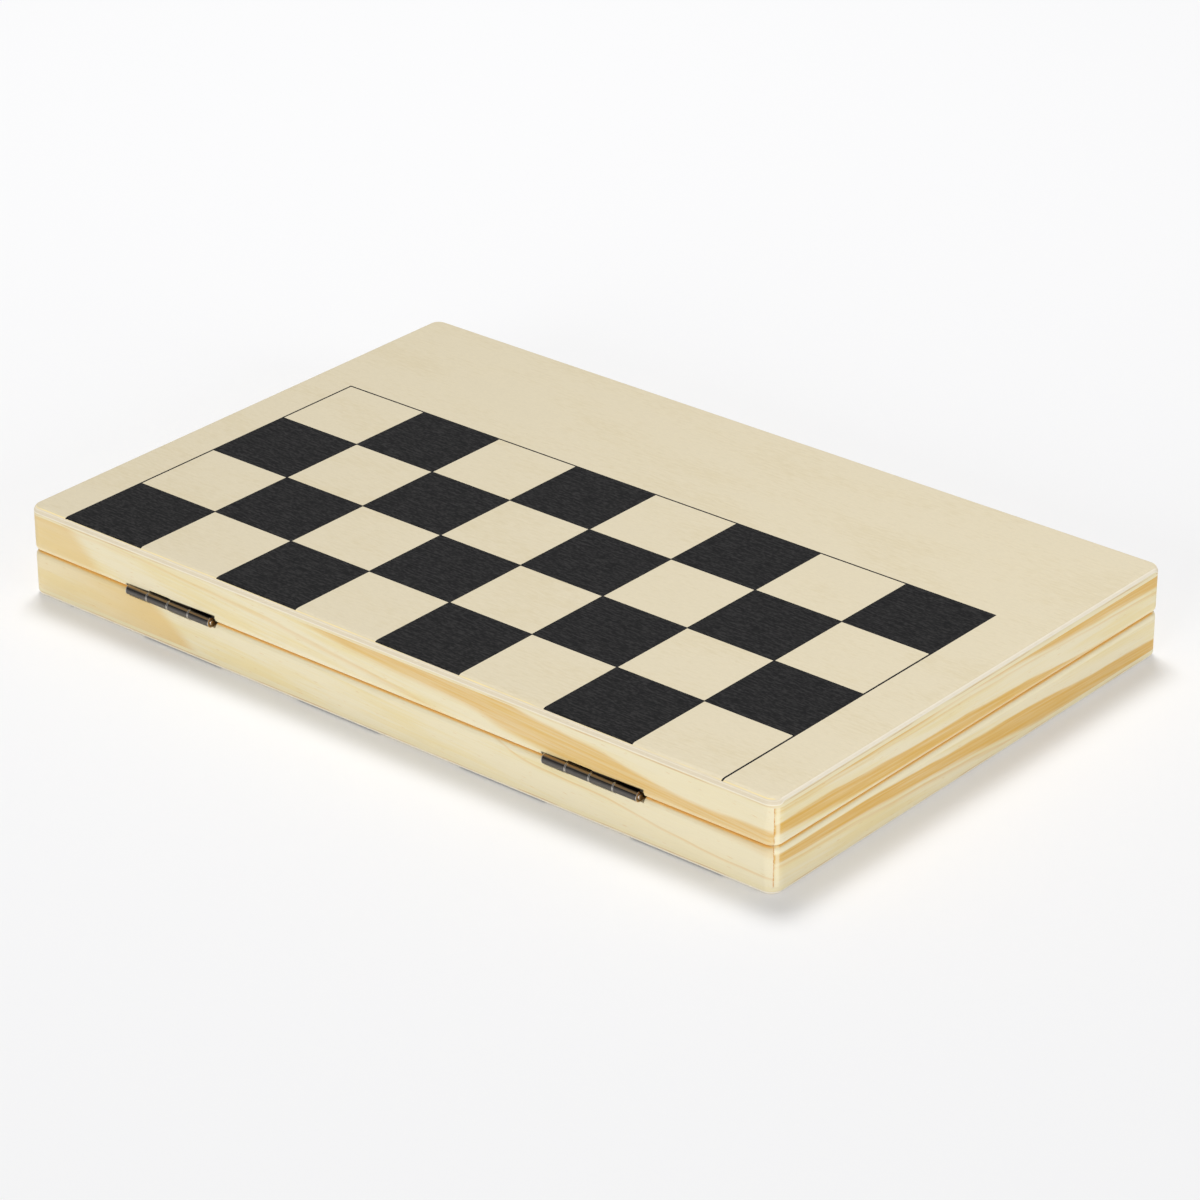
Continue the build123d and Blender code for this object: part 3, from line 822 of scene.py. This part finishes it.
class CHESS_OT_board_print(bpy.types.Operator):
    """Finish the board print on both panels"""

    bl_idname = "chess_set.board_print"
    bl_label = "Board print"

    def execute(self, context):
        dress(black_print("board_ink", context.scene.chess_print), "base_print", "lid_print")
        return {"FINISHED"}


class CHESS_OT_frames(bpy.types.Operator):
    """Finish the eight pine strips, each with its own figure"""

    bl_idname = "chess_set.frames"
    bl_label = "Pine frames"

    def execute(self, context):
        for name, strip in figures.items():
            dress(pine_strip(name, context.scene.chess_pine, strip), name)
        return {"FINISHED"}


class CHESS_OT_fittings(bpy.types.Operator):
    """Finish the hinges, their pins and screws, and the latch"""

    bl_idname = "chess_set.fittings"
    bl_label = "Hinges and latch"

    def execute(self, context):
        look = context.scene.chess_bronze
        fittings = [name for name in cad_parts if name.startswith(("hinge_", "latch_"))]
        dress(bronze("dark_bronze", look), *fittings)
        for side in ("left", "right"):
            pieces = [f"hinge_{side}_{piece}" for piece in ("lid_leaf", "base_leaf", "pin")]
            dress(bronze(f"dark_bronze_{side}", look, pieces[0]), *pieces)
        return {"FINISHED"}


class CHESS_OT_men(bpy.types.Operator):
    """Finish the light and the black chessmen"""

    bl_idname = "chess_set.men"
    bl_label = "Chessmen"

    def execute(self, context):
        look = context.scene.chess_men
        light = [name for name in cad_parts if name.startswith("light_")]
        black = [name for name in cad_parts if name.startswith("dark_")]
        dress(turned_wood("light_turned_wood", look, look.light, look.light_grain), *light)
        dress(turned_wood("black_turned_wood", look, look.dark, look.dark_grain), *black)
        return {"FINISHED"}


# How far the floor reaches in under the case and how far it lies below it, in millimetres
floor_lap = 3.0
floor_gap = 0.02


def floor_corners(half_length, half_width):
    """The corners of a rectangle on the floor, in metres."""
    turns = ((-1, -1), (1, -1), (1, 1), (-1, 1))
    return [(x * half_length, y * half_width, -floor_gap * mm) for x, y in turns]


def floor_mesh(size):
    """A square sheet, open under the middle of the case, so that the underside shows from below."""
    outside = floor_corners(size / 2, size / 2)
    opening = floor_corners((case_length / 2 - floor_lap) * mm, (case_width / 2 - floor_lap) * mm)
    quads = []
    for corner in range(4):
        after = (corner + 1) % 4
        quads.append((corner, after, after + 4, corner + 4))
    mesh = bpy.data.meshes.new("floor")
    mesh.from_pydata(outside + opening, [], quads)
    return mesh


def seen_rays(finish):
    """1 for what the camera sees, also in metal and through glass, and 0 for other light."""
    camera, glossy, through = (
        finish.node("ShaderNodeLightPath", out=ray)
        for ray in ("Is Camera Ray", "Is Glossy Ray", "Is Transmission Ray")
    )
    return finish.maths("MINIMUM", camera + glossy + through, 1.0)


def lay_floor(look):
    """A plain pale floor that the camera sees a little brighter than it is lit."""
    mesh = floor_mesh(look.floor_size)
    floor = bpy.data.objects.new("floor", mesh)
    bpy.context.scene.collection.objects.link(floor)
    finish = Finish("pale_floor")
    lit = finish.node("ShaderNodeBsdfDiffuse", sockets={"Color": linked(look.floor)})
    plain = finish.node("ShaderNodeEmission", sockets={"Color": (1, 1, 1, 1), "Strength": 1.0})
    mixed = finish.node("ShaderNodeMixShader", sockets={0: seen_rays(finish) * look.glow, 1: lit, 2: plain})
    finish.node("ShaderNodeOutputMaterial", sockets={"Surface": mixed})
    mesh.materials.append(finish.material)


def hang_sky(look):
    """Even light from all sides, which the camera sees as a near-white backdrop."""
    world = bpy.data.worlds.new("sky")
    world.use_nodes = True
    bpy.context.scene.world = world
    sky = Wiring(world.node_tree)
    seen = sky.node("ShaderNodeLightPath", out="Is Camera Ray")
    strength = sky.node("ShaderNodeMix", sockets={0: seen, 2: look.sky, 3: look.backdrop})
    light = sky.node("ShaderNodeBackground", sockets={"Color": (1, 1, 1, 1), "Strength": strength})
    sky.node("ShaderNodeOutputWorld", sockets={"Surface": light})


class Lamp(NamedTuple):
    """A square soft lamp that looks at the case: its place and side in metres, its power in watts."""

    place: tuple
    side: float
    power: float


lamps = {
    "key": Lamp(place=(-0.38, 0.36, 1.4), side=0.5, power=13.0),
    "front_fill": Lamp(place=(0.3, -1.6, 0.35), side=0.8, power=9.8),
    "right_fill": Lamp(place=(1.6, 0.0, 0.4), side=0.8, power=6.2),
}


def hang_lamp(name, lamp):
    """Hang one lamp and turn it to the case."""
    light = bpy.data.lights.new(name, "AREA")
    light.size = lamp.side
    light.energy = lamp.power
    hung = bpy.data.objects.new(name, light)
    hung.location = lamp.place
    hung.rotation_euler = (-Vector(lamp.place)).to_track_quat("-Z", "Y").to_euler()
    bpy.context.scene.collection.objects.link(hung)


# The camera, where a fit to the board's grid puts it, and the point it looks at
camera_place = Vector((536.17, -638.29, 426.85)) * mm
camera_aim = Vector((21.6, -22.0, 21.0)) * mm

# The width of its sensor, in millimetres, and how far it sees, in metres
camera_sensor = 36.0
camera_reach = 20.0


def stand_camera(look):
    """Stand the camera where the picture was taken from."""
    camera = bpy.data.cameras.new("camera")
    camera.lens = look.focal_length
    camera.sensor_width = camera_sensor
    camera.clip_end = camera_reach
    stood = bpy.data.objects.new("camera", camera)
    turn = (camera_aim - camera_place).to_track_quat("-Z", "Y").to_matrix().to_4x4()
    stood.matrix_world = Matrix.Translation(camera_place) @ turn
    bpy.context.scene.collection.objects.link(stood)
    bpy.context.scene.camera = stood


class CHESS_OT_stage(bpy.types.Operator):
    """Lay the floor, light it and stand the camera"""

    bl_idname = "chess_set.stage"
    bl_label = "Stage"

    def execute(self, context):
        look = context.scene.chess_stage
        lay_floor(look)
        hang_sky(look)
        for name, lamp in lamps.items():
            hang_lamp(name, lamp)
        stand_camera(look)
        context.scene.view_settings.view_transform = "Standard"
        return {"FINISHED"}


looks = {
    "chess_plywood": PlywoodLook,
    "chess_print": PrintLook,
    "chess_pine": PineLook,
    "chess_bronze": BronzeLook,
    "chess_men": MenLook,
    "chess_stage": StageLook,
}
steps = ("panels", "board_print", "frames", "fittings", "men", "stage")


class CHESS_PT_pieces(bpy.types.Panel):
    """The steps that dress the chess set"""

    bl_label = "Chess set"
    bl_space_type = "VIEW_3D"
    bl_region_type = "UI"
    bl_category = "Chess set"

    def draw(self, context):
        for step in steps:
            self.layout.operator(f"chess_set.{step}")
        for name, look in looks.items():
            box = self.layout.box()
            for field in look.__annotations__:
                box.prop(getattr(context.scene, name), field)


classes = (
    *looks.values(),
    CHESS_OT_panels,
    CHESS_OT_board_print,
    CHESS_OT_frames,
    CHESS_OT_fittings,
    CHESS_OT_men,
    CHESS_OT_stage,
    CHESS_PT_pieces,
)


def register():
    for item in classes:
        bpy.utils.register_class(item)
    for name, look in looks.items():
        setattr(bpy.types.Scene, name, PointerProperty(type=look))


def unregister():
    for name in looks:
        delattr(bpy.types.Scene, name)
    for item in reversed(classes):
        bpy.utils.unregister_class(item)


def main():
    """Dress the set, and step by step."""
    register()
    for step in steps:
        getattr(bpy.ops.chess_set, step)()


if __name__ == "__main__":
    main()
